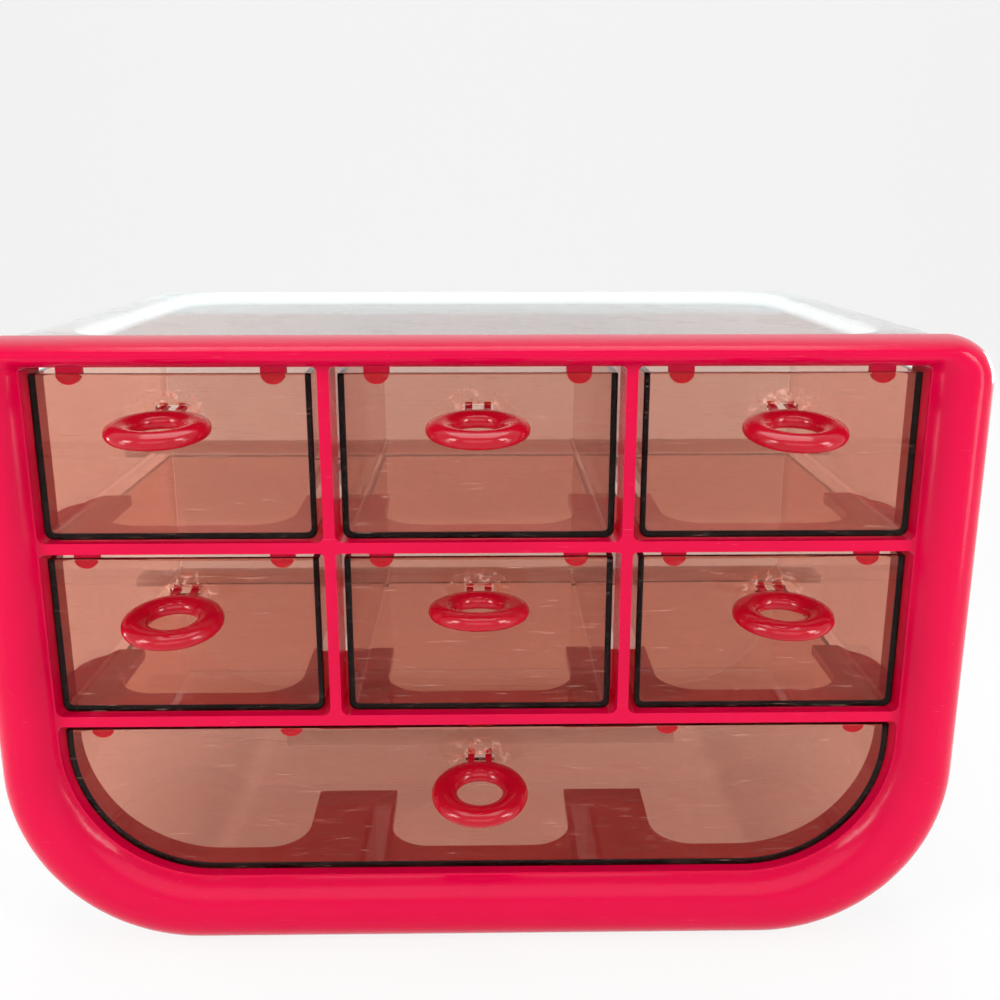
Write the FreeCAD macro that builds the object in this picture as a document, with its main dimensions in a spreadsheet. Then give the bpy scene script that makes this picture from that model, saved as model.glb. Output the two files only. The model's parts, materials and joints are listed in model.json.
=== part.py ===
import FreeCAD, Part
import math
import os
import re
import Sketcher

# Desktop drawer organizer: a white shell with a tray top, a red front frame, seven smoked drawers
# and a ring pull on each drawer. X is the width, Y the depth away from the front, Z up. The origin
# is the middle of the shell's underside. Inside each body Y = 0 is the front plane of the grid.

SIZES = {
    # Front frame, outer form
    "bezel_half_width": 160.0,
    "bezel_height": 208.5,
    "bezel_corner_low": 63.0,
    "bezel_corner_high": 14.4,
    "bezel_back": 10.0,
    "bezel_crest": 6.0,
    "crest_inset_side": 10.9,
    "crest_inset_low": 12.5,
    "crest_inset_high": 4.3,
    "crest_corner_low": 55.5,
    "crest_corner_high": 8.0,
    "crest_land": 0.4,
    # Front frame, opening and grid
    "band_side": 21.8,
    "band_low": 26.3,
    "band_high": 8.5,
    "side_below_shelf": 7.5,
    "opening_corner_high": 1.5,
    "opening_lip": 3.0,
    "shelf_thickness": 3.6,
    "divider_thickness": 3.6,
    "middle_window_extra": 1.0,
    "grid_depth": 16.0,
    "window_corner": 2.5,
    "collar_reach": 8.8,
    "collar_drop": 6.3,
    "collar_rise": 3.0,
    # Ledges that carry the drawers
    "ledge_back": 55.0,
    "ledge_half_width": 14.8,
    "outer_ledge_width": 13.2,
    "ledge_corner": 15.0,
    "cutout_corner": 14.0,
    "rail_overlap": 10.0,
    "rail_reach": 2.0,
    # Stop tabs that hang behind the drawer fronts
    "tab_half_width": 4.0,
    "tab_round": 3.8,
    "tab_drop": 6.0,
    "tab_thickness": 2.0,
    "tab_from_side": 11.8,
    "stop_clearance": 0.3,
    # Shell and tray
    "shell_inset": 1.5,
    "shell_taper": 1.5,
    "shell_back": 206.0,
    "shell_wall": 2.4,
    "shell_corner_high": 14.0,
    "shell_back_round": 8.0,
    "foot_trim": 0.5,
    "tray_rim_side": 24.5,
    "tray_front": 22.5,
    "tray_rim_back": 10.0,
    "tray_depth": 5.5,
    "tray_corner": 22.0,
    "tray_round": 1.6,
    # Drawers
    "drawer_face": 3.0,
    "drawer_back": 150.0,
    "drawer_wall": 2.0,
    "drawer_corner": 3.0,
    "drawer_inner_corner": 1.6,
    "drawer_side_gap": 2.2,
    "drawer_outer_gap": 1.2,
    "drawer_rest_gap": 0.3,
    "drawer_top_gap": 2.4,
    "drawer_edge_round": 0.7,
    "drawer_back_round": 2.4,
    # Ring pulls and the slots they clip into
    "ring_major": 11.4,
    "ring_half_width": 4.1,
    "ring_half_thickness": 2.75,
    "ring_side_round": 2.2,
    "ring_below_pivot": 1.7,
    "ring_rear_gap": 0.9,
    "pivot_below_rim": 11.0,
    "slot_side_gap": 0.8,
    "slot_gap": 0.5,
    "slot_corner": 0.4,
    "prong_width": 2.2,
    "prong_spacing": 5.8,
    "prong_half_height": 0.7,
    "prong_post": 3.0,
    "barb_height": 1.0,
    "barb_length": 2.3,
    "barb_clearance": 0.7,
    "prong_nose": 1.0,
}

# Sizes that follow from the named ones
FOLLOWING = {
    "opening_half_width": "(sizes.bezel_half_width - sizes.band_side)",
    "opening_low": "sizes.band_low",
    "opening_high": "(sizes.bezel_height - sizes.band_high)",
    "row_clear": "((opening_high - opening_low - 2 * sizes.shelf_thickness) / 3)",
    "opening_corner_low": "(row_clear - sizes.side_below_shelf)",
    "lower_shelf_top": "(opening_low + row_clear + sizes.shelf_thickness)",
    "upper_shelf_top": "(lower_shelf_top + row_clear + sizes.shelf_thickness)",
    "side_window": "((2 * opening_half_width - 2 * sizes.divider_thickness - sizes.middle_window_extra) / 3)",
    "divider_centre": "((side_window + sizes.middle_window_extra + sizes.divider_thickness) / 2)",
    "collar_half_width": "(opening_half_width + sizes.collar_reach)",
    "collar_low": "(opening_low - sizes.collar_drop)",
    "collar_high": "(opening_high + sizes.collar_rise)",
    "drawer_half_width": "(divider_centre - sizes.divider_thickness / 2 - sizes.drawer_side_gap)",
    "tab_offset": "(drawer_half_width - sizes.tab_from_side)",
    "rail_front": "(sizes.drawer_back - sizes.rail_overlap)",
    "rail_back": "(sizes.drawer_back + sizes.rail_reach)",
    "tray_half_width": "(sizes.bezel_half_width - sizes.shell_inset - sizes.tray_rim_side)",
    "tray_back": "(sizes.shell_back - sizes.tray_rim_back)",
    "slot_half_width": "((sizes.prong_spacing + sizes.prong_width) / 2 + sizes.slot_side_gap)",
    "slot_half_height": "(sizes.prong_half_height + sizes.slot_gap)",
    "ring_side_centre": "(sizes.ring_half_width - sizes.ring_side_round)",
    "ring_face_round": "((ring_side_centre ^ 2 + sizes.ring_half_thickness ^ 2 - sizes.ring_side_round ^ 2)"
                       " / (2 * (sizes.ring_half_thickness - sizes.ring_side_round)))",
}

# Resting droop of each ring pull in degrees, front end down counted as positive
RING_TILTS = {
    "upper_left": 5.0,
    "upper_middle": 5.0,
    "upper_right": 7.5,
    "middle_left": 8.0,
    "middle_middle": -3.0,
    "middle_right": 4.0,
    "lower": 9.0,
}

# Angles of the sections that shape a rounded band or edge
ROUND_STEPS = (0, 30, 60, 90)

doc = FreeCAD.newDocument("drawer_organizer")
sheet = doc.addObject("Spreadsheet::Sheet", "sizes")
for row, (alias, value) in enumerate(SIZES.items(), start=1):
    sheet.set("A%d" % row, alias)
    sheet.set("B%d" % row, str(value))
    sheet.setAlias("B%d" % row, alias)
doc.recompute()


def value_of(expression):
    """Return the number that a sheet expression gives."""
    return float(sheet.evalExpression(expression))


def size(alias):
    """Return the expression that reads one named size, or works out one that follows from them."""
    text = FOLLOWING.get(alias, "sizes." + alias)
    for word in re.findall(r"(?<![.\w])[a-z_]+", text):
        if word in FOLLOWING:
            text = re.sub(r"(?<![.\w])%s\b" % word, size(word), text)
    return text


# Distance from the grid's front plane back to the origin, half way along the shell
ORIGIN_DEPTH = "(%s + %s) / 2" % (size("bezel_back"), size("shell_back"))


def new_body(name):
    """Add an empty body whose label is the name of its file."""
    body = doc.addObject("PartDesign::Body", name)
    body.Label = name
    body.setExpression("Placement.Base.y", "-(%s)" % ORIGIN_DEPTH)
    return body


def origin_plane(body, role):
    """Return the origin plane of a body that has the given role."""
    for feature in body.Origin.OriginFeatures:
        if feature.Role == role:
            return feature
    raise ValueError("no plane " + role)


def new_sketch(body, name, role, offset):
    """Attach a sketch to an origin plane, moved along the plane's normal by an expression."""
    sketch = body.newObject("Sketcher::SketchObject", name)
    sketch.AttachmentSupport = [(origin_plane(body, role), "")]
    sketch.MapMode = "FlatFace"
    sketch.setExpression("AttachmentOffset.Base.z", offset)
    return sketch


def arc(x, y, radius, start):
    """Return a quarter arc that begins at the given angle."""
    circle = Part.Circle(FreeCAD.Vector(x, y, 0), FreeCAD.Vector(0, 0, 1), radius)
    return Part.ArcOfCircle(circle, math.radians(start), math.radians(start + 90))


def line(x1, y1, x2, y2):
    """Return a straight sketch line."""
    return Part.LineSegment(FreeCAD.Vector(x1, y1, 0), FreeCAD.Vector(x2, y2, 0))


def bind(sketch, name, constraint, expression):
    """Add a dimension to a sketch and tie it to a sheet expression."""
    index = sketch.addConstraint(constraint)
    sketch.renameConstraint(index, name)
    sketch.setExpression("Constraints." + name, expression)


def outline(sketch, tag, centre, half_width, low, high, corner_low, corner_high):
    """Draw a closed outline with its own low and high corner radii, all given as expressions."""
    mid, half, bottom, top, r_low, r_high = [
        value_of(text) for text in (centre, half_width, low, high, corner_low, corner_high)
    ]
    left = mid - half
    right = mid + half
    first = sketch.GeometryCount
    sketch.addGeometry(
        [
            line(left + r_low, bottom, right - r_low, bottom),
            arc(right - r_low, bottom + r_low, r_low, -90),
            line(right, bottom + r_low, right, top - r_high),
            arc(right - r_high, top - r_high, r_high, 0),
            line(right - r_high, top, left + r_high, top),
            arc(left + r_high, top - r_high, r_high, 90),
            line(left, top - r_high, left, bottom + r_low),
            arc(left + r_low, bottom + r_low, r_low, 180),
        ],
        False,
    )
    joins = [Sketcher.Constraint("Tangent", first + k, 2, first + (k + 1) % 8, 1) for k in range(8)]
    joins.append(Sketcher.Constraint("Horizontal", first))
    joins.append(Sketcher.Constraint("Horizontal", first + 4))
    joins.append(Sketcher.Constraint("Vertical", first + 2))
    joins.append(Sketcher.Constraint("Vertical", first + 6))
    joins.append(Sketcher.Constraint("Equal", first + 1, first + 7))
    joins.append(Sketcher.Constraint("Equal", first + 3, first + 5))
    sketch.addConstraint(joins)
    wide = Sketcher.Constraint
    bind(sketch, tag + "left", wide("DistanceX", -1, 1, first + 6, 1, left),
         "(%s) - (%s)" % (centre, half_width))
    bind(sketch, tag + "right", wide("DistanceX", -1, 1, first + 2, 1, right),
         "(%s) + (%s)" % (centre, half_width))
    bind(sketch, tag + "low", wide("DistanceY", -1, 1, first, 1, bottom), low)
    bind(sketch, tag + "high", wide("DistanceY", -1, 1, first + 4, 1, top), high)
    bind(sketch, tag + "corner_low", wide("Radius", first + 1, r_low), corner_low)
    bind(sketch, tag + "corner_high", wide("Radius", first + 3, r_high), corner_high)


def front_sketch(body, name, depth, outlines):
    """Draw outlines in an upright plane at one depth behind the grid's front plane."""
    sketch = new_sketch(body, name, "XZ_Plane", "-(%s)" % depth)
    for number, dimensions in enumerate(outlines):
        outline(sketch, "o%d_" % number, *dimensions)
    return sketch


def plan_sketch(body, name, height, outlines):
    """Draw outlines in a level plane at one height."""
    sketch = new_sketch(body, name, "XY_Plane", height)
    for number, dimensions in enumerate(outlines):
        outline(sketch, "o%d_" % number, *dimensions)
    return sketch


def feature_of(body, kind, name, sketch, length):
    """Make a pad or a pocket of the given length from a sketch."""
    feature = body.newObject("PartDesign::" + kind, name)
    feature.Profile = sketch
    feature.setExpression("Length", length)
    sketch.Visibility = False
    return feature


def pad_back(body, name, front, back, outlines):
    """Add material between two depths."""
    sketch = front_sketch(body, name + "_outline", back, outlines)
    return feature_of(body, "Pad", name, sketch, "(%s) - (%s)" % (back, front))


def cut_back(body, name, front, back, outlines):
    """Remove material between two depths."""
    sketch = front_sketch(body, name + "_outline", front, outlines)
    return feature_of(body, "Pocket", name, sketch, "(%s) - (%s)" % (back, front))


def pad_up(body, name, low, high, outlines):
    """Add material between two heights."""
    sketch = plan_sketch(body, name + "_outline", low, outlines)
    return feature_of(body, "Pad", name, sketch, "(%s) - (%s)" % (high, low))


def cut_down(body, name, low, high, outlines):
    """Remove material between two heights."""
    sketch = plan_sketch(body, name + "_outline", high, outlines)
    return feature_of(body, "Pocket", name, sketch, "(%s) - (%s)" % (high, low))


def loft(body, kind, name, sections):
    """Join upright sections, each a depth and an outline, with a smooth skin."""
    sketches = []
    for number, (depth, dimensions) in enumerate(sections):
        sketches.append(front_sketch(body, "%s_section_%d" % (name, number), depth, [dimensions]))
    feature = body.newObject("PartDesign::" + kind, name)
    feature.Profile = sketches[0]
    feature.Sections = sketches[1:]
    for sketch in sketches:
        sketch.Visibility = False
    return feature


def fillet(body, name, base, radius, chosen):
    """Round the edges of a feature whose bounding boxes pass a test."""
    doc.recompute()
    edges = ["Edge%d" % number for number, edge in enumerate(base.Shape.Edges, start=1)
             if chosen(edge.BoundBox)]
    if not edges:
        raise ValueError("no edges for " + name)
    feature = body.newObject("PartDesign::Fillet", name)
    feature.Base = (base, edges)
    feature.setExpression("Radius", radius)
    return feature


def near(a, b):
    """Tell whether two lengths are equal to a hundredth of a millimetre."""
    return abs(a - b) < 0.01


# Places shared by the frame, the drawers and the rings

COLUMN_HALF = size("drawer_half_width")
SIDE_CENTRE = "%s - %s - (%s)" % (size("opening_half_width"), size("drawer_outer_gap"), COLUMN_HALF)
UPPER_CEILING = size("opening_high")
MIDDLE_CEILING = "%s - %s" % (size("upper_shelf_top"), size("shelf_thickness"))
LOWER_CEILING = "%s - %s" % (size("lower_shelf_top"), size("shelf_thickness"))
ROWS = {
    "upper": (size("upper_shelf_top"), UPPER_CEILING),
    "middle": (size("lower_shelf_top"), MIDDLE_CEILING),
    "lower": (size("opening_low"), LOWER_CEILING),
}
COLUMNS = {"left": "-(%s)" % SIDE_CENTRE, "middle": "0", "right": SIDE_CENTRE}
INNER_FACE = "%s + %s" % (size("drawer_face"), size("drawer_wall"))


# Front frame: rolled bezel, grid, ledges and stop tabs

frame = new_body("front_frame")


def outer_section(angle):
    """Return depth and outline on the outer half of the rolled band."""
    share = "(1 - cos(%d))" % angle
    depth = "{0} - ({0} + {1}) * sin({2})".format(size("bezel_back"), size("bezel_crest"), angle)
    side = "(%s - %s) * %s" % (size("crest_inset_side"), size("crest_land"), share)
    low = "(%s - %s) * %s" % (size("crest_inset_low"), size("crest_land"), share)
    high = "(%s - %s) * %s" % (size("crest_inset_high"), size("crest_land"), share)
    corner_low = "{0} - ({0} - {1}) * {2}".format(
        size("bezel_corner_low"), size("crest_corner_low"), share)
    corner_high = "{0} - ({0} - {1}) * {2}".format(
        size("bezel_corner_high"), size("crest_corner_high"), share)
    return depth, ("0", "%s - %s" % (size("bezel_half_width"), side), low,
                   "%s - %s" % (size("bezel_height"), high), corner_low, corner_high)


def inner_section(angle):
    """Return depth and outline on the inner half of the rolled band."""
    share = "(1 - cos(%d))" % angle
    depth = "{0} - ({0} + {1}) * sin({2})".format(size("opening_lip"), size("bezel_crest"), angle)
    crest_side = "{0} - {1} - {2}".format(
        size("bezel_half_width"), size("crest_inset_side"), size("crest_land"))
    crest_low = "%s + %s" % (size("crest_inset_low"), size("crest_land"))
    crest_high = "{0} - {1} - {2}".format(
        size("bezel_height"), size("crest_inset_high"), size("crest_land"))
    blend = "({0}) + (({1}) - ({0})) * {2}"
    return depth, (
        "0",
        blend.format(size("opening_half_width"), crest_side, share),
        blend.format(size("opening_low"), crest_low, share),
        blend.format(size("opening_high"), crest_high, share),
        blend.format(size("opening_corner_low"), size("crest_corner_low"), share),
        blend.format(size("opening_corner_high"), size("crest_corner_high"), share),
    )


loft(frame, "AdditiveLoft", "bezel_band", [outer_section(angle) for angle in ROUND_STEPS])
loft(frame, "SubtractiveLoft", "bezel_inner_roll", [inner_section(angle) for angle in ROUND_STEPS])
opening = ("0", size("opening_half_width"), size("opening_low"), size("opening_high"),
           size("opening_corner_low"), size("opening_corner_high"))
cut_back(frame, "opening", size("opening_lip"), size("bezel_back"), [opening])

# Shelf plates with their ledges, and the rounded gaps between the ledges
plate = ("0", size("collar_half_width"), "0", size("ledge_back"), size("drawer_edge_round"),
         size("ledge_corner"))
for level in ("lower", "upper"):
    top = size(level + "_shelf_top")
    low = "%s - %s" % (top, size("shelf_thickness"))
    pad_up(frame, level + "_shelf", low, top, [plate])
gap_inner = "%s + %s" % (size("divider_centre"), size("ledge_half_width"))
gap_outer = "%s - %s" % (size("opening_half_width"), size("outer_ledge_width"))
gap_half = "((%s) - (%s)) / 2" % (gap_outer, gap_inner)
gap_centre = "((%s) + (%s)) / 2" % (gap_outer, gap_inner)
gap_back = "%s + 2 * %s" % (size("ledge_back"), size("cutout_corner"))
gap_rest = (size("grid_depth"), gap_back, size("cutout_corner"), size("cutout_corner"))
middle_gap = ("0", "%s - %s" % (size("divider_centre"), size("ledge_half_width"))) + gap_rest
right_gap = (gap_centre, gap_half) + gap_rest
left_gap = ("-(%s)" % gap_centre, gap_half) + gap_rest
cut_down(frame, "ledge_gaps", LOWER_CEILING, size("upper_shelf_top"), [middle_gap, right_gap, left_gap])

# Grid panel behind the opening, with one window for each drawer
collar = ("0", size("collar_half_width"), size("collar_low"), size("collar_high"),
          size("opening_corner_low"), size("crest_corner_high"))
pad_back(frame, "grid_panel", "0", size("grid_depth"), [collar])
window_inner = "%s + %s / 2" % (size("divider_centre"), size("divider_thickness"))
window_half = "(%s - (%s)) / 2" % (size("opening_half_width"), window_inner)
window_centre = "(%s + %s) / 2" % (size("opening_half_width"), window_inner)
middle_half = "%s - %s / 2" % (size("divider_centre"), size("divider_thickness"))
for level in ("upper", "middle"):
    floor, ceiling = ROWS[level]
    rest = (floor, ceiling, size("window_corner"), size("opening_corner_high"))
    windows = [("0", middle_half) + rest, (window_centre, window_half) + rest,
               ("-(%s)" % window_centre, window_half) + rest]
    cut_back(frame, level + "_windows", "0", size("grid_depth"), windows)
lower_window = ("0", size("opening_half_width"), size("opening_low"), LOWER_CEILING,
                size("opening_corner_low"), size("opening_corner_high"))
cut_back(frame, "lower_window", "0", size("grid_depth"), [lower_window])

# A plate under the lower drawer, cut back to two ledges with rounded roots
plate_low = "%s - %s" % (size("opening_low"), size("shelf_thickness"))
root_reach = "%s + %s" % (gap_inner, size("cutout_corner"))
pad_up(frame, "lower_plate", plate_low, size("opening_low"), [
    ("0", root_reach, "%s / 2" % size("bezel_back"), size("ledge_back"), size("drawer_edge_round"),
     size("window_corner")),
])
beside_half = "%s + %s" % (size("cutout_corner"), size("window_corner"))
beside_centre = "%s + %s" % (gap_inner, beside_half)
right_side = (beside_centre, beside_half) + gap_rest
left_side = ("-(%s)" % beside_centre, beside_half) + gap_rest
cut_down(frame, "lower_ledge_gaps", plate_low, size("opening_low"), [middle_gap, right_side, left_side])

# Stop tabs hang from each ceiling, just behind the drawer fronts
tab_front = "%s + %s" % (INNER_FACE, size("stop_clearance"))
tab_back = "%s + %s" % (tab_front, size("tab_thickness"))
for level, columns in (("upper", COLUMNS), ("middle", COLUMNS), ("lower", ("left", "right"))):
    ceiling = ROWS[level][1]
    tabs = []
    for column in columns:
        for side in ("-", "+"):
            place = "(%s) %s %s" % (COLUMNS[column], side, size("tab_offset"))
            tabs.append((place, size("tab_half_width"), "%s - %s" % (ceiling, size("tab_drop")),
                         "%s + %s / 2" % (ceiling, size("shelf_thickness")), size("tab_round"),
                         size("slot_corner")))
    pad_back(frame, level + "_stop_tabs", tab_front, tab_back, tabs)


# Outer shell: open front, closed back, tray in the top, and rails inside for the drawers' backs

shell = new_body("outer_shell")


def shell_section(depth, inset, taper, ceiling):
    """Return depth and outline of the shell at one depth."""
    half = "%s - (%s) - (%s)" % (size("bezel_half_width"), inset, taper)
    corner = "%s - (%s)" % (size("bezel_corner_low"), inset)
    low = "(%s) - %s - %s" % (inset, size("shell_inset"), size("foot_trim"))
    rounding = "%s - (%s) + %s" % (size("shell_corner_high"), inset, size("shell_inset"))
    return depth, ("0", half, low, ceiling, corner, rounding)


def shell_form(kind, name, wall, top):
    """Loft the tapered run of the shell and its rounded back, one wall inside the outer skin."""
    start = "%s - %s" % (size("shell_back"), size("shell_back_round"))
    radius = "(%s - %s)" % (size("shell_back_round"), wall)
    inset = "%s + %s" % (size("shell_inset"), wall)
    loft(shell, kind, name + "_run", [
        shell_section(size("bezel_back"), inset, "0", top),
        shell_section(start, inset, size("shell_taper"), top),
    ])
    sections = []
    for angle in ROUND_STEPS:
        sink = "%s * (1 - cos(%d))" % (radius, angle)
        depth = "%s + %s * sin(%d)" % (start, radius, angle)
        sections.append(shell_section(depth, "%s + %s" % (inset, sink), size("shell_taper"),
                                      "%s - %s" % (top, sink)))
    loft(shell, kind, name + "_back", sections)


shell_top = "%s - %s" % (size("bezel_height"), size("shell_inset"))
tray_floor = "%s - %s" % (shell_top, size("tray_depth"))
inner_inset = "%s + %s" % (size("shell_inset"), size("shell_wall"))
shell_form("AdditiveLoft", "skin", "0", shell_top)
shell_form("SubtractiveLoft", "cavity", size("shell_wall"), "%s - %s" % (tray_floor, size("shell_wall")))
front_high = "%s - %s" % (shell_top, size("shell_wall"))
front_back = "%s - %s" % (size("tray_front"), size("shell_wall"))
cut_back(shell, "front_cavity", size("bezel_back"), front_back, [
    shell_section("0", inner_inset, size("shell_taper"), front_high)[1],
])
tray = cut_down(shell, "tray", tray_floor, shell_top, [
    ("0", size("tray_half_width"), size("tray_front"), size("tray_back"), size("tray_corner"),
     size("tray_corner")),
])
tray_levels = (value_of(tray_floor), value_of(shell_top))
tray_reach = value_of(size("tray_half_width")) + 0.1


def on_tray_edge(box):
    """Tell whether an edge runs along the rim or the floor of the tray."""
    level = near(box.ZMin, box.ZMax) and any(near(box.ZMin, height) for height in tray_levels)
    inside = box.XMax < tray_reach and box.XMin > -tray_reach
    return level and inside and box.YMin > value_of(size("tray_front")) - 0.1


fillet(shell, "tray_edges", tray, size("tray_round"), on_tray_edge)
# The underside is trimmed flat so that the organizer stands firm
cut_down(shell, "flat_underside", "-" + size("shell_wall"), "0", [
    ("0", size("bezel_half_width"), "0", "%s + %s" % (size("shell_back"), size("shell_back_round")),
     size("slot_corner"), size("slot_corner")),
])

# Two rails between the side walls and a rib on the floor carry the backs of the drawers
rail_half = "%s - (%s) - %s + %s / 2" % (
    size("bezel_half_width"), inner_inset, size("shell_taper"), size("shell_wall"))
for level in ("upper", "middle"):
    top = ROWS[level][0]
    pad_up(shell, level + "_rear_rail", "%s - %s" % (top, size("shelf_thickness")), top,
           [("0", rail_half, size("rail_front"), size("rail_back"), size("slot_corner"),
             size("slot_corner"))])
rib_half = "%s - %s" % (size("opening_half_width"), size("opening_corner_low"))
pad_up(shell, "lower_rear_rib", "%s / 2" % size("shell_wall"), size("opening_low"),
       [("0", rib_half, size("rail_front"), "%s + %s" % (size("rail_front"), size("shelf_thickness")),
         size("slot_corner"), size("slot_corner"))])


# Drawers: open boxes that slide between the ledges, each with a slot for its ring pull


def make_drawer(name, centre, half_width, row, corner, inner_corner):
    """Build one drawer from the compartment it stands in."""
    floor, ceiling = ROWS[row]
    low = "%s + %s" % (floor, size("drawer_rest_gap"))
    high = "%s - %s" % (ceiling, size("drawer_top_gap"))
    wall = size("drawer_wall")
    edge = size("drawer_edge_round")
    body = new_body(name)
    block = pad_back(body, "block", size("drawer_face"), size("drawer_back"),
                     [(centre, half_width, low, high, corner, size("slot_corner"))])
    back = value_of(size("drawer_back"))
    under_rim = value_of(high) - value_of(wall)
    base = fillet(body, "back_edges", block, size("drawer_back_round"),
                  lambda box: near(box.YMin, back) and near(box.YMax, back) and box.ZMin < under_rim)
    front = value_of(size("drawer_face"))
    fillet(body, "front_edges", base, edge,
           lambda box: near(box.YMin, front) and near(box.YMax, front))
    cavity = (centre, "%s - %s" % (half_width, wall), "%s + %s" % (low, wall),
              "%s + %s" % (high, wall), inner_corner, size("slot_corner"))
    cut_back(body, "cavity", INNER_FACE, "%s - %s" % (size("drawer_back"), wall), [cavity])
    pivot = "%s - %s" % (high, size("pivot_below_rim"))
    slot = (centre, size("slot_half_width"), "%s - %s" % (pivot, size("slot_half_height")),
            "%s + %s" % (pivot, size("slot_half_height")), size("slot_corner"), size("slot_corner"))
    cut_back(body, "slot", size("drawer_face"), INNER_FACE, [slot])
    return body


def oval(sketch, across, height, side_centre, half_thickness, side_round, face_round):
    """Draw a flattened oval of four tangent arcs: two small ones at the sides, two wide faces."""
    middle, level, reach, thick, small, large = [
        value_of(text) for text in (across, height, side_centre, half_thickness, side_round, face_round)
    ]
    turn = math.degrees(math.atan2(large - thick, reach))
    rise = large - thick
    arcs = [
        (middle + reach, level, small, -turn, turn),
        (middle, level - rise, large, turn, 180 - turn),
        (middle - reach, level, small, 180 - turn, 180 + turn),
        (middle, level + rise, large, 180 + turn, 360 - turn),
    ]
    for x, y, radius, start, end in arcs:
        circle = Part.Circle(FreeCAD.Vector(x, y, 0), FreeCAD.Vector(0, 0, 1), radius)
        sketch.addGeometry(Part.ArcOfCircle(circle, math.radians(start), math.radians(end)), False)
    sketch.addConstraint([Sketcher.Constraint("Tangent", k, 2, (k + 1) % 4, 1) for k in range(4)])
    sketch.addConstraint([Sketcher.Constraint("Equal", 0, 2), Sketcher.Constraint("Equal", 1, 3)])
    exact = Sketcher.Constraint
    bind(sketch, "right", exact("DistanceX", -1, 1, 0, 3, middle + reach), "%s + %s" % (across, side_centre))
    bind(sketch, "left", exact("DistanceX", -1, 1, 2, 3, middle - reach), "%s - %s" % (across, side_centre))
    bind(sketch, "right_level", exact("DistanceY", -1, 1, 0, 3, level), height)
    bind(sketch, "left_level", exact("DistanceY", -1, 1, 2, 3, level), height)
    bind(sketch, "side_round", exact("Radius", 0, small), side_round)
    bind(sketch, "face_round", exact("Radius", 1, large), face_round)


# Ring pulls: a flattened ring on two barbed prongs that clip through the slot and tilt in it


def make_ring(name, centre, row, tilt):
    """Build one ring pull about its pivot in the drawer front and set it at its droop."""
    body = new_body(name)
    ring_out = "{0} / 2 + {1} + {2} + {3}".format(
        size("drawer_wall"), size("ring_rear_gap"), size("ring_half_width"), size("ring_major"))
    section = new_sketch(body, "ring_section", "XZ_Plane", ring_out)
    oval(section, size("ring_major"), "-" + size("ring_below_pivot"), size("ring_side_centre"),
         size("ring_half_thickness"), size("ring_side_round"), size("ring_face_round"))
    ring = body.newObject("PartDesign::Revolution", "ring")
    ring.Profile = section
    ring.ReferenceAxis = (section, ["V_Axis"])
    ring.Angle = 360
    section.Visibility = False

    # Side view of a prong: post out of the ring, arm through the slot, barb behind the panel
    side = "%s / 2 - %s / 2" % (size("prong_spacing"), size("prong_width"))
    profile = new_sketch(body, "prong_section", "YZ_Plane", side)
    arm = size("prong_half_height")
    panel = "%s / 2" % size("drawer_wall")
    post_back = "-(%s + %s + %s / 2)" % (panel, size("ring_rear_gap"), arm)
    post_front = "%s - %s" % (post_back, size("prong_post"))
    barb_start = "%s + %s" % (panel, size("barb_clearance"))
    barb_end = "%s + %s" % (barb_start, size("barb_length"))
    nose = "%s + %s" % (barb_end, size("prong_nose"))
    root = "-" + size("ring_below_pivot")
    corners = [
        (post_front, root), (post_back, root), (post_back, "-" + arm), (nose, "-" + arm),
        (nose, "0"), (barb_start, "%s + %s" % (arm, size("barb_height"))),
        (barb_start, arm), (post_front, arm),
    ]
    points = [(value_of(y), value_of(z)) for y, z in corners]
    for number, start in enumerate(points):
        end = points[(number + 1) % len(points)]
        profile.addGeometry(line(start[0], start[1], end[0], end[1]), False)
    for number, (y, z) in enumerate(corners):
        following = (number + 1) % len(corners)
        profile.addConstraint(Sketcher.Constraint("Coincident", number, 2, following, 1))
    for number, (y, z) in enumerate(corners):
        bind(profile, "y%d" % number,
             Sketcher.Constraint("DistanceX", -1, 1, number, 1, points[number][0]), y)
        bind(profile, "z%d" % number,
             Sketcher.Constraint("DistanceY", -1, 1, number, 1, points[number][1]), z)
    prong = feature_of(body, "Pad", "prong", profile, size("prong_width"))
    mirror = body.newObject("PartDesign::Mirrored", "second_prong")
    mirror.Originals = [prong]
    mirror.MirrorPlane = (origin_plane(body, "YZ_Plane"), [""])
    body.Tip = mirror

    ceiling = ROWS[row][1]
    height = "%s - %s - %s" % (ceiling, size("drawer_top_gap"), size("pivot_below_rim"))
    depth = "%s + %s / 2 - (%s)" % (size("drawer_face"), size("drawer_wall"), ORIGIN_DEPTH)
    turn = FreeCAD.Rotation(FreeCAD.Vector(1, 0, 0), tilt)
    body.Placement = FreeCAD.Placement(FreeCAD.Vector(0, 0, 0), turn)
    body.setExpression("Placement.Base.x", centre)
    body.setExpression("Placement.Base.y", depth)
    body.setExpression("Placement.Base.z", height)
    return body


bodies = [frame, shell]
for row in ("upper", "middle"):
    for column, centre in COLUMNS.items():
        spot = "%s_%s" % (row, column)
        bodies.append(make_drawer("drawer_" + spot, centre, COLUMN_HALF, row, size("drawer_corner"),
                                  size("drawer_inner_corner")))
        bodies.append(make_ring("ring_pull_" + spot, centre, row, RING_TILTS[spot]))
lower_half = "%s - %s" % (size("opening_half_width"), size("drawer_outer_gap"))
lower_corner = "%s - %s" % (size("opening_corner_low"), size("drawer_outer_gap"))
bodies.append(make_drawer("drawer_lower", "0", lower_half, "lower", lower_corner,
                          "%s - %s" % (lower_corner, size("drawer_wall"))))
bodies.append(make_ring("ring_pull_lower", "0", "lower", RING_TILTS["lower"]))

doc.recompute()

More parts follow.
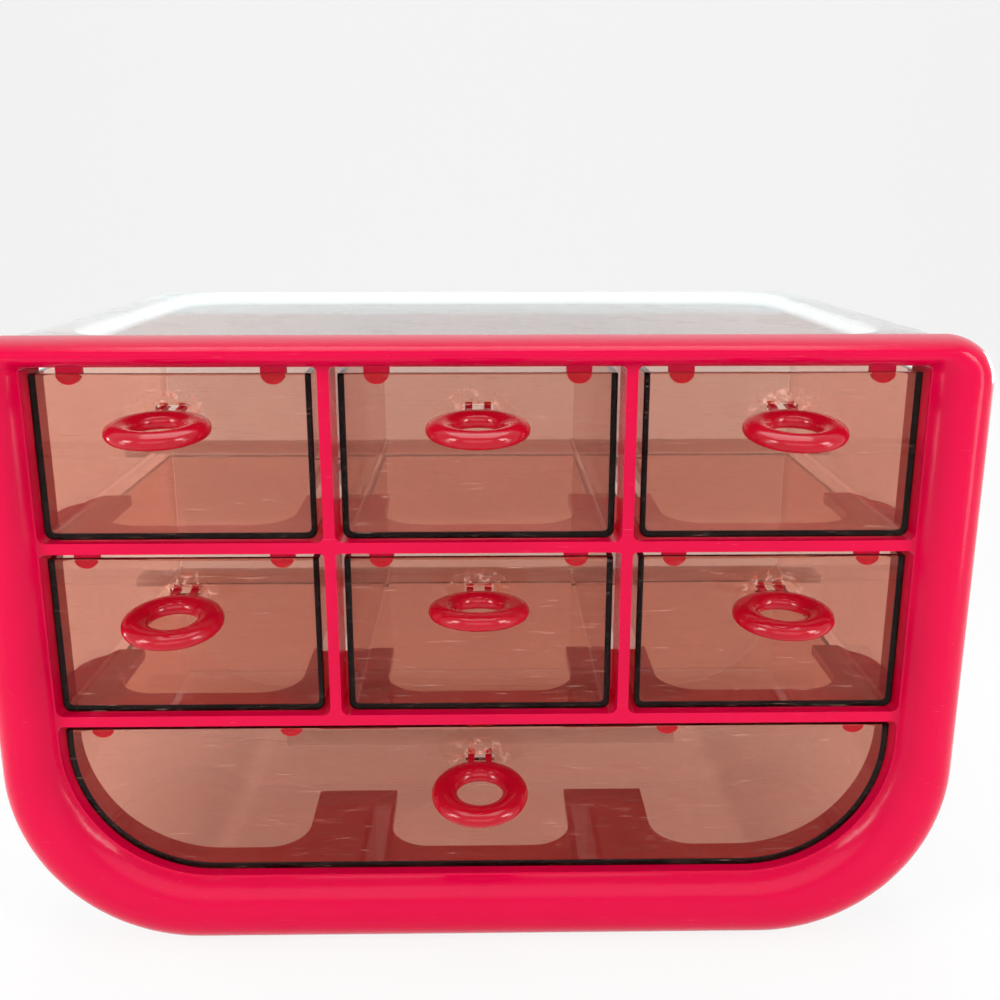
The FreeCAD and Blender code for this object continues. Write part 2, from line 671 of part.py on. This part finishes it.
# Every object is sound before anything is written
for item in doc.Objects:
    if "Invalid" in item.State or "Error" in item.State:
        raise RuntimeError("%s failed: %s" % (item.Label, item.State))
for body in bodies:
    shape = body.Shape
    if shape.isNull() or not shape.isValid() or len(shape.Solids) != 1:
        raise RuntimeError("%s is not one valid solid" % body.Label)

os.makedirs("parts", exist_ok=True)
for body in bodies:
    body.Shape.exportStep("parts/%s.step" % body.Label)
    box = body.Shape.BoundBox
    print("%-24s %9.1f mm3  X %.2f %.2f  Y %.2f %.2f  Z %.2f %.2f" % (
        body.Label, body.Shape.Volume, box.XMin, box.XMax, box.YMin, box.YMax, box.ZMin, box.ZMax))
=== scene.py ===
import json
import math

import bpy
import numpy as np
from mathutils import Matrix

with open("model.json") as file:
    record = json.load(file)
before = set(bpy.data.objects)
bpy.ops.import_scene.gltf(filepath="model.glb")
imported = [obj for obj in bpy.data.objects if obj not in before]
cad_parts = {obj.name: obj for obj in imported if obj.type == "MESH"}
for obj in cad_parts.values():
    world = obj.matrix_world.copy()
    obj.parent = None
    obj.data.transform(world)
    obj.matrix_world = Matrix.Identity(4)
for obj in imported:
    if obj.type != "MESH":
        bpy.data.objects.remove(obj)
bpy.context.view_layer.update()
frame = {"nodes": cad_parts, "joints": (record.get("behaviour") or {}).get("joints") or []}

bl_info = {
    "name": "Drawer Organizer Finish",
    "version": (1, 0, 0),
    "blender": (4, 5, 0),
    "location": "3D View > Sidebar > Organizer",
    "description": "Moulded plastic finishes and a plain studio for a desktop drawer organizer",
    "category": "Material",
}

MM = 0.001

# Pattern sizes on the moulded pieces
PATCH_SIZE = 30 * MM
SCUFF_SLIMNESS = 26
RIPPLE_HEIGHT = 0.25 * MM
SCUFF_DEPTH = 0.03 * MM
SCUFF_PALENESS = 0.30
SCUFF_ROUGHENING = 0.35
PATCH_ROUGHENING = 0.09

# Pattern sizes on the smoked drawers
STRESS_CORE = 4 * MM
STRESS_STRETCH = (0.75, 1.0, 1.15)
CRACKLE_SIZE = 2.2 * MM
FILM_SIZE = 24 * MM
FILM_SHARE = 0.006
DRAWER_RIPPLE_SIZE = 18 * MM
DRAWER_RIPPLE_HEIGHT = 0.3 * MM
DRAWER_MIRROR = 0.2
WHITENING = 0.55

# Floor and backdrop, in metres from the middle of the organizer's foot
FLOOR_HALF_WIDTH = 4.0
FLOOR_FRONT = -3.0
FLOOR_BACK = 2.5
BACKDROP_HEIGHT = 3.0
BACKDROP_BEND = 1.0
BEND_STEPS = 12
PAPER_GRAIN = 60 * MM
ROOM_WHITE = 0.9

# Lights, in metres: places, the points they aim at, and widths with heights
WINDOW_PLACE = (1.0, -0.75, 0.65)
WINDOW_SIZE = (0.35, 0.60)
CEILING_PLACE = (0, 0.1, 1.3)
CEILING_SIZE = (1.0, 1.0)
FILL_PLACE = (0, -1.6, 0.8)
FILL_SIZE = (1.8, 1.0)
STRIP_PLACE = (0.55, -0.35, 0.13)
STRIP_SIZE = (0.12, 0.25)
BACK_LEFT_PLACE = (-1.1, 0.4, 0.16)
BACK_RIGHT_PLACE = (1.1, 0.8, 0.18)
BACK_SIZE = (0.5, 0.3)
BACK_RIGHT_SHARE = 0.6
FRONT_AIM = (0, -0.05, 0.10)
MIDDLE_AIM = (0, 0, 0.10)
SHELL_AIM = (0, 0.12, 0.12)


def linear(hex_colour):
    """Turn an sRGB hex value into linear red, green, blue and full alpha."""
    parts = [int(hex_colour[k:k + 2], 16) / 255 for k in (1, 3, 5)]
    straight = [c / 12.92 if c <= 0.04045 else ((c + 0.055) / 1.055) ** 2.4 for c in parts]
    return (*straight, 1.0)


def colour(name, description, hex_colour):
    """A colour setting with its default written as an sRGB hex value."""
    return bpy.props.FloatVectorProperty(
        name=name, description=description, subtype="COLOR", size=4, min=0, max=1,
        default=linear(hex_colour))


class OrganizerFinishSettings(bpy.types.PropertyGroup):
    """Colours and surface sizes of the moulded plastics."""

    frame_red: colour("Frame red", "Dyed red of the front frame", "#C20038")
    shell_white: colour("Shell white", "White of the outer shell", "#ECEFEF")
    ring_red: colour("Ring red", "Deep red of the ring pulls", "#A4061C")
    smoke: colour("Smoke", "Colour that the smoked plastic lets through best", "#E58100")
    smoke_density: bpy.props.FloatProperty(
        name="Smoke density", description="Light taken away in a metre of smoked plastic",
        default=327.0, min=0)
    stress: colour("Stress white", "Whitened plastic round the slots", "#F4BFAE")
    flow_size: bpy.props.FloatProperty(
        name="Flow ripple", description="Width of the soft ripples left by moulding",
        default=9 * MM, min=1 * MM, subtype="DISTANCE", unit="LENGTH")
    scuff_length: bpy.props.FloatProperty(
        name="Scuff length", description="Typical length of a handling scuff",
        default=14 * MM, min=1 * MM, subtype="DISTANCE", unit="LENGTH")
    stress_radius: bpy.props.FloatProperty(
        name="Stress mark radius", description="How far the whitening spreads from a slot",
        default=10 * MM, min=1 * MM, subtype="DISTANCE", unit="LENGTH")


class OrganizerStudioSettings(bpy.types.PropertyGroup):
    """Camera place and the plain studio."""

    camera_place: bpy.props.FloatVectorProperty(
        name="Camera place", description="Where the camera stands", subtype="TRANSLATION",
        unit="LENGTH", size=3, default=(0.0014, -0.4468, 0.24855))
    camera_pitch: bpy.props.FloatProperty(
        name="Camera pitch", description="How far the camera looks down", subtype="ANGLE",
        unit="ROTATION", default=0.2604)
    camera_turn: bpy.props.FloatProperty(
        name="Camera turn", description="How far the camera turns to the left", subtype="ANGLE",
        unit="ROTATION", default=-0.0156)
    lens: bpy.props.FloatProperty(
        name="Lens", description="Focal length on a sensor 36 mm wide", default=40.48, min=10)
    window_power: bpy.props.FloatProperty(
        name="Window power", description="Power of each window light", unit="POWER",
        default=9.5, min=0)
    fill_power: bpy.props.FloatProperty(
        name="Fill power", description="Power of the wide light behind the camera", unit="POWER",
        default=10.0, min=0)
    strip_power: bpy.props.FloatProperty(
        name="Strip power", description="Power of each low light that draws a stripe on the frame",
        unit="POWER", default=0.6, min=0)
    back_power: bpy.props.FloatProperty(
        name="Back power", description="Power of the left light behind; the right has a share",
        unit="POWER", default=8.0, min=0)
    ceiling_power: bpy.props.FloatProperty(
        name="Ceiling power", description="Power of the light overhead", unit="POWER",
        default=12.5, min=0)
    world_level: bpy.props.FloatProperty(
        name="Room light", description="Strength of the light from all round", default=0.12, min=0)
    floor_glow: bpy.props.FloatProperty(
        name="Floor evenness", description="Share of its plain colour that the backdrop shows",
        default=0.88, min=0, max=1)
    floor_colour: colour("Floor", "Colour of the floor and the backdrop", "#FAFAFA")


def add_node(tree, kind, inputs=None, **settings):
    """Add a node, set its options, and fill or link its inputs."""
    node = tree.nodes.new(kind)
    for name, value in settings.items():
        setattr(node, name, value)
    for socket, value in (inputs or {}).items():
        if isinstance(value, bpy.types.NodeSocket):
            tree.links.new(value, node.inputs[socket])
        else:
            node.inputs[socket].default_value = value
    return node


def new_material(name):
    """Return a material's tree, its output and the piece's own coordinates in metres."""
    material = bpy.data.materials.new(name)
    material.use_nodes = True
    tree = material.node_tree
    tree.nodes.clear()
    output = add_node(tree, "ShaderNodeOutputMaterial")
    place = add_node(tree, "ShaderNodeTexCoord").outputs["Object"]
    return material, tree, output, place


def scuffs(tree, place, length, turn, amount):
    """A mask of thin straight scuffs: noise stretched along one direction and cut near its peak."""
    stretched = add_node(tree, "ShaderNodeMapping", {
        "Vector": place, "Rotation": (turn * 0.4, turn, turn * 0.7),
        "Scale": (1 / length, SCUFF_SLIMNESS / length, SCUFF_SLIMNESS / length)})
    noise = add_node(tree, "ShaderNodeTexNoise", {
        "Vector": stretched.outputs[0], "Scale": 1.0, "Detail": 2.0, "Roughness": 0.6})
    return add_node(tree, "ShaderNodeMapRange", {
        "Value": noise.outputs[0], "From Min": 0.70 - amount, "From Max": 0.78 - amount}).outputs[0]


def crossed_scuffs(tree, place, length, shorter, turns, amount):
    """Scuffs in two directions: one set of the full length, the other shorter by a share."""
    lines = scuffs(tree, place, length, turns[0], amount)
    more_lines = scuffs(tree, place, length * shorter, turns[1], amount)
    return add_node(tree, "ShaderNodeMath", {0: lines, 1: more_lines}, operation="MAXIMUM").outputs[0]


def looked_at(tree):
    """Mask of the rays that show a plain white ground: seen, mirrored or let through."""
    path = add_node(tree, "ShaderNodeLightPath")
    mirrored = add_node(tree, "ShaderNodeMath", {
        0: path.outputs["Is Glossy Ray"], 1: path.outputs["Is Transmission Ray"]},
        operation="MAXIMUM").outputs[0]
    return add_node(tree, "ShaderNodeMath", {
        0: path.outputs["Is Camera Ray"], 1: mirrored}, operation="MAXIMUM").outputs[0]


def moulded_plastic(name, base, settings, roughness, ior, gloss, wear, mottle, relief, passing=0.0):
    """Injection moulded gloss plastic: soft flow ripples, dusty patches and thin handling scuffs.

    gloss is the strength of the mirror-like part, wear the share of the scuffs that shows, mottle
    how much darker the dusty patches are, relief the depth of the ripples and scuffs, and passing
    the share of light that a thin pale wall scatters through to its other side."""
    material, tree, output, place = new_material(name)
    flow = add_node(tree, "ShaderNodeTexNoise", {
        "Vector": place, "Scale": 1 / settings.flow_size, "Detail": 3.0, "Roughness": 0.45})
    patches = add_node(tree, "ShaderNodeTexNoise", {
        "Vector": place, "Scale": 1 / PATCH_SIZE, "Detail": 5.0, "Roughness": 0.62})
    both = crossed_scuffs(tree, place, settings.scuff_length, 0.7, (0.5, 2.1), 0.0)
    scratched = add_node(tree, "ShaderNodeMath", {0: both, 1: patches.outputs[0]},
                         operation="MULTIPLY").outputs[0]
    pale = [c + (1 - c) * SCUFF_PALENESS for c in base[:3]] + [1.0]
    deep = [c * (1 - mottle) for c in base[:3]] + [1.0]
    tone = add_node(tree, "ShaderNodeMix", {
        "Factor": patches.outputs[0], 6: deep, 7: tuple(base)}, data_type="RGBA")
    worn_share = add_node(tree, "ShaderNodeMath", {0: scratched, 1: wear}, operation="MULTIPLY")
    worn = add_node(tree, "ShaderNodeMix", {
        "Factor": worn_share.outputs[0], 6: tone.outputs[2], 7: pale}, data_type="RGBA")
    dull = add_node(tree, "ShaderNodeMapRange", {
        "Value": patches.outputs[0], "From Min": 0.35, "From Max": 0.75,
        "To Min": roughness, "To Max": roughness + PATCH_ROUGHENING})
    rough = add_node(tree, "ShaderNodeMath", {
        0: scratched, 1: SCUFF_ROUGHENING, 2: dull.outputs[0]}, operation="MULTIPLY_ADD")
    ripple = add_node(tree, "ShaderNodeBump", {
        "Strength": 0.10 * relief, "Distance": RIPPLE_HEIGHT, "Height": flow.outputs[0]})
    marks = add_node(tree, "ShaderNodeBump", {
        "Strength": 0.25 * relief, "Distance": SCUFF_DEPTH, "Height": scratched,
        "Normal": ripple.outputs[0]}, invert=True)
    shader = add_node(tree, "ShaderNodeBsdfPrincipled", {
        "Base Color": worn.outputs[2], "Roughness": rough.outputs[0], "IOR": ior,
        "Specular IOR Level": gloss, "Normal": marks.outputs[0]})
    if passing:
        through = add_node(tree, "ShaderNodeBsdfTranslucent", {"Color": worn.outputs[2]})
        shader = add_node(tree, "ShaderNodeMixShader", {
            0: passing, 1: shader.outputs[0], 2: through.outputs[0]})
    tree.links.new(shader.outputs[0], output.inputs["Surface"])
    return material


def smoked_plastic(name, slot, seed, settings):
    """Moulded smoked polystyrene: thin clear walls that tint what lies behind them.

    The tint deepens with the way through the plastic, so a wall looks nearly black end-on. Fine
    scuffs and a faint film dull the surface, and the plastic is whitened round the ring's slot.
    Lamplight passes the surface unbent, and slot and seed give each drawer its own marks."""
    material, tree, output, place = new_material(name)
    centred = add_node(tree, "ShaderNodeMapping", {
        "Vector": place, "Location": tuple(-c for c in slot)})
    around = add_node(tree, "ShaderNodeMapping", {
        "Vector": centred.outputs[0], "Scale": STRESS_STRETCH})
    distance = add_node(tree, "ShaderNodeVectorMath", {0: around.outputs[0]}, operation="LENGTH")
    fade = add_node(tree, "ShaderNodeMapRange", {
        "Value": distance.outputs["Value"], "From Min": settings.stress_radius,
        "From Max": STRESS_CORE, "To Min": 0.0, "To Max": 1.0}, interpolation_type="SMOOTHSTEP")
    crackle = add_node(tree, "ShaderNodeTexNoise", {
        "Vector": centred.outputs[0], "W": seed, "Scale": 1 / CRACKLE_SIZE, "Detail": 4.0,
        "Roughness": 0.7, "Distortion": 0.6}, noise_dimensions="4D")
    cut = add_node(tree, "ShaderNodeMapRange", {
        "Value": crackle.outputs[0], "From Min": 0.52, "From Max": 0.66})
    stress = add_node(tree, "ShaderNodeMath", {0: fade.outputs[0], 1: cut.outputs[0]},
                      operation="MULTIPLY").outputs[0]
    both = crossed_scuffs(tree, place, settings.scuff_length, 0.6, (0.4 + seed, 1.7 + seed), 0.03)
    white = add_node(tree, "ShaderNodeMath", {0: both, 1: 0.5, 2: stress}, operation="MULTIPLY_ADD",
                     use_clamp=True).outputs[0]
    haze = add_node(tree, "ShaderNodeTexNoise", {
        "Vector": place, "Scale": 1 / FILM_SIZE, "Detail": 4.0, "Roughness": 0.55})
    film = add_node(tree, "ShaderNodeMapRange", {
        "Value": haze.outputs[0], "From Min": 0.35, "From Max": 0.75,
        "To Min": 0.0, "To Max": FILM_SHARE}).outputs[0]
    share = add_node(tree, "ShaderNodeMath", {0: white, 1: WHITENING, 2: film},
                     operation="MULTIPLY_ADD", use_clamp=True).outputs[0]
    flow = add_node(tree, "ShaderNodeTexNoise", {
        "Vector": place, "Scale": 1 / DRAWER_RIPPLE_SIZE, "Detail": 2.0})
    ripple = add_node(tree, "ShaderNodeBump", {
        "Strength": 0.08, "Distance": DRAWER_RIPPLE_HEIGHT, "Height": flow.outputs[0]})
    clear = add_node(tree, "ShaderNodeBsdfPrincipled", {
        "Base Color": (1, 1, 1, 1), "Roughness": 0.02, "IOR": 1.59,
        "Specular Tint": (DRAWER_MIRROR, DRAWER_MIRROR, DRAWER_MIRROR, 1),
        "Transmission Weight": 1.0, "Normal": ripple.outputs[0]})
    scuffed = add_node(tree, "ShaderNodeBsdfPrincipled", {
        "Base Color": tuple(settings.stress), "Roughness": 0.5, "IOR": 1.5})
    surface = add_node(tree, "ShaderNodeMixShader", {
        0: share, 1: clear.outputs[0], 2: scuffed.outputs[0]})
    path = add_node(tree, "ShaderNodeLightPath")
    lamps = add_node(tree, "ShaderNodeMath", {
        0: path.outputs["Is Shadow Ray"], 1: path.outputs["Is Diffuse Ray"]},
        operation="MAXIMUM").outputs[0]
    passing = add_node(tree, "ShaderNodeBsdfTransparent", {"Color": (1, 1, 1, 1)})
    shown = add_node(tree, "ShaderNodeMixShader", {
        0: lamps, 1: surface.outputs[0], 2: passing.outputs[0]})
    smoke = add_node(tree, "ShaderNodeVolumeAbsorption", {
        "Color": tuple(settings.smoke), "Density": settings.smoke_density})
    tree.links.new(shown.outputs[0], output.inputs["Surface"])
    tree.links.new(smoke.outputs[0], output.inputs["Volume"])
    return material


def dress(node, material):
    """Give a CAD node its finish."""
    piece = frame["nodes"][node]
    piece.data.materials.clear()
    piece.data.materials.append(material)


def nodes_named(start):
    """Return the names of the CAD nodes that begin with a word."""
    return sorted(name for name in frame["nodes"] if name.startswith(start))


class ORGANIZER_OT_frame(bpy.types.Operator):
    """Finish the front frame in glossy dyed ABS"""

    bl_idname = "organizer.frame"
    bl_label = "Front frame"

    def execute(self, context):
        settings = context.scene.organizer_finish
        # Moulded ABS: an even dyed red, with a soft shine along the rolled edge
        material = moulded_plastic("raspberry_abs_moulded", settings.frame_red, settings,
                                   roughness=0.16, ior=1.54, gloss=0.12, wear=0.25, mottle=0.10,
                                   relief=1.0)
        dress("front_frame", material)
        return {"FINISHED"}


class ORGANIZER_OT_shell(bpy.types.Operator):
    """Finish the outer shell in glossy white polystyrene"""

    bl_idname = "organizer.shell"
    bl_label = "Outer shell"

    def execute(self, context):
        settings = context.scene.organizer_finish
        # Moulded polystyrene: a clean white wall, thin enough to let light into the drawers
        material = moulded_plastic("white_polystyrene_moulded", settings.shell_white, settings,
                                   roughness=0.25, ior=1.59, gloss=0.25, wear=0.1, mottle=0.0,
                                   relief=0.1, passing=0.72)
        dress("outer_shell", material)
        return {"FINISHED"}


class ORGANIZER_OT_drawers(bpy.types.Operator):
    """Finish the drawers in smoked clear polystyrene"""

    bl_idname = "organizer.drawers"
    bl_label = "Drawers"

    def execute(self, context):
        settings = context.scene.organizer_finish
        joints = {joint["child"]: joint for joint in frame["joints"]}
        for number, node in enumerate(nodes_named("drawer_")):
            ring = node.replace("drawer_", "ring_pull_")
            pivot = joints[ring]["pos_m"]
            material = smoked_plastic("smoked_polystyrene_" + node, pivot, 0.9 * number, settings)
            dress(node, material)
        return {"FINISHED"}


class ORGANIZER_OT_rings(bpy.types.Operator):
    """Finish the ring pulls in deep red gloss plastic"""

    bl_idname = "organizer.rings"
    bl_label = "Ring pulls"

    def execute(self, context):
        settings = context.scene.organizer_finish
        # Moulded polystyrene: a glassy deep red, with small window highlights on each ring
        material = moulded_plastic("deep_red_polystyrene_moulded", settings.ring_red, settings,
                                   roughness=0.10, ior=1.59, gloss=0.22, wear=0.35, mottle=0.12,
                                   relief=0.6)
        for node in nodes_named("ring_pull_"):
            dress(node, material)
        return {"FINISHED"}


def area_light(name, place, aim, size, power):
    """Add a rectangular soft light that points from its place at its aim."""
    data = bpy.data.lights.new(name, "AREA")
    data.shape = "RECTANGLE"
    data.size, data.size_y = size
    data.energy = power
    light = bpy.data.objects.new(name, data)
    bpy.context.scene.collection.objects.link(light)
    light.location = place
    across, along, up = (a - p for a, p in zip(aim, place))
    light.rotation_euler = (math.atan2(math.hypot(across, along), -up), 0, math.atan2(-across, along))


def sweep_mesh(name):
    """Floor and backdrop in one sheet.

    The profile is a flat floor, a quarter circle y = back - bend + bend sin a, z = bend - bend cos a
    for a from 0 to a right angle, and an upright wall. Each point of it is set at both sides."""
    angle = np.linspace(0, math.pi / 2, BEND_STEPS + 1)
    bend = FLOOR_BACK - BACKDROP_BEND * (1 - np.sin(angle))
    along = np.concatenate(([FLOOR_FRONT], bend, [FLOOR_BACK]))
    up = np.concatenate(([0.0], BACKDROP_BEND * (1 - np.cos(angle)), [BACKDROP_HEIGHT]))
    across = np.tile([-FLOOR_HALF_WIDTH, FLOOR_HALF_WIDTH], len(along))
    points = np.stack([across, np.repeat(along, 2), np.repeat(up, 2)], axis=1)
    faces = 2 * np.arange(len(along) - 1)[:, None] + [0, 1, 3, 2]
    mesh = bpy.data.meshes.new(name)
    mesh.from_pydata(points.tolist(), [], faces.tolist())
    mesh.shade_smooth()
    return mesh


def place_camera(settings):
    """Stand the camera at its place and look through it."""
    scene = bpy.context.scene
    data = bpy.data.cameras.new("camera")
    data.sensor_width = 36
    data.lens = settings.lens
    data.clip_start = 0.02
    camera = bpy.data.objects.new("camera", data)
    camera.location = settings.camera_place
    camera.rotation_euler = (math.pi / 2 - settings.camera_pitch, 0, settings.camera_turn)
    scene.collection.objects.link(camera)
    scene.camera = camera


def lay_backdrop(settings):
    """Matt paper: an even pale ground that keeps a soft shadow under the organizer."""
    floor = bpy.data.objects.new("floor", sweep_mesh("floor"))
    bpy.context.scene.collection.objects.link(floor)
    material, tree, output, place = new_material("matte_paper_backdrop")
    grain = add_node(tree, "ShaderNodeTexNoise", {"Vector": place, "Scale": 1 / PAPER_GRAIN})
    rough = add_node(tree, "ShaderNodeMapRange", {
        "Value": grain.outputs[0], "To Min": 0.8, "To Max": 0.95})
    paper = add_node(tree, "ShaderNodeBsdfPrincipled", {
        "Base Color": tuple(settings.floor_colour), "Roughness": rough.outputs[0]})
    glow = add_node(tree, "ShaderNodeEmission", {
        "Color": tuple(settings.floor_colour), "Strength": 1.0})
    seen = add_node(tree, "ShaderNodeMath", {
        0: looked_at(tree), 1: settings.floor_glow}, operation="MULTIPLY").outputs[0]
    shown = add_node(tree, "ShaderNodeMixShader", {0: seen, 1: paper.outputs[0], 2: glow.outputs[0]})
    tree.links.new(shown.outputs[0], output.inputs["Surface"])
    floor.data.materials.append(material)


def whiten_room(settings):
    """Dim light from all round on the organizer, and plain white where the room itself shows."""
    world = bpy.data.worlds.new("room")
    bpy.context.scene.world = world
    world.use_nodes = True
    room = world.node_tree.nodes["Background"]
    room.inputs["Color"].default_value = (1, 1, 1, 1)
    level = add_node(world.node_tree, "ShaderNodeMapRange", {
        "Value": looked_at(world.node_tree), "To Min": settings.world_level, "To Max": ROOM_WHITE})
    world.node_tree.links.new(level.outputs[0], room.inputs["Strength"])


def hang_lights(settings):
    """Windows at both sides, a ceiling, a fill, low strips for stripes, and lights behind."""
    sides = (("left", -1), ("right", 1))
    for word, side in sides:
        place = (side * WINDOW_PLACE[0], *WINDOW_PLACE[1:])
        area_light("window_" + word, place, FRONT_AIM, WINDOW_SIZE, settings.window_power)
    area_light("ceiling", CEILING_PLACE, MIDDLE_AIM, CEILING_SIZE, settings.ceiling_power)
    area_light("fill", FILL_PLACE, MIDDLE_AIM, FILL_SIZE, settings.fill_power)
    for word, side in sides:
        place = (side * STRIP_PLACE[0], *STRIP_PLACE[1:])
        area_light("strip_" + word, place, MIDDLE_AIM, STRIP_SIZE, settings.strip_power)
    area_light("back_left", BACK_LEFT_PLACE, SHELL_AIM, BACK_SIZE, settings.back_power)
    area_light("back_right", BACK_RIGHT_PLACE, SHELL_AIM, BACK_SIZE,
               settings.back_power * BACK_RIGHT_SHARE)


class ORGANIZER_OT_studio(bpy.types.Operator):
    """Set up the plain floor, the soft lights and the camera"""

    bl_idname = "organizer.studio"
    bl_label = "Studio"

    def execute(self, context):
        settings = context.scene.organizer_studio
        place_camera(settings)
        lay_backdrop(settings)
        whiten_room(settings)
        hang_lights(settings)
        context.scene.view_settings.view_transform = "Standard"
        return {"FINISHED"}


class ORGANIZER_PT_panel(bpy.types.Panel):
    """Lists the organizer's finishes and its studio"""

    bl_label = "Drawer organizer"
    bl_idname = "ORGANIZER_PT_panel"
    bl_space_type = "VIEW_3D"
    bl_region_type = "UI"
    bl_category = "Organizer"

    def draw(self, context):
        for settings in (context.scene.organizer_finish, context.scene.organizer_studio):
            for name in settings.__annotations__:
                self.layout.prop(settings, name)
        for operator in OPERATORS:
            self.layout.operator(operator.bl_idname)


OPERATORS = (
    ORGANIZER_OT_frame,
    ORGANIZER_OT_shell,
    ORGANIZER_OT_drawers,
    ORGANIZER_OT_rings,
    ORGANIZER_OT_studio,
)
CLASSES = (OrganizerFinishSettings, OrganizerStudioSettings, *OPERATORS, ORGANIZER_PT_panel)


def register():
    """Register the classes and hang their settings on the scene."""
    for item in CLASSES:
        bpy.utils.register_class(item)
    bpy.types.Scene.organizer_finish = bpy.props.PointerProperty(type=OrganizerFinishSettings)
    bpy.types.Scene.organizer_studio = bpy.props.PointerProperty(type=OrganizerStudioSettings)


def unregister():
    """Take the settings and the classes away again."""
    del bpy.types.Scene.organizer_studio
    del bpy.types.Scene.organizer_finish
    for item in reversed(CLASSES):
        bpy.utils.unregister_class(item)


def main():
    """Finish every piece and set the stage."""
    register()
    bpy.ops.organizer.frame()
    bpy.ops.organizer.shell()
    bpy.ops.organizer.drawers()
    bpy.ops.organizer.rings()
    bpy.ops.organizer.studio()


if __name__ == "__main__":
    main()
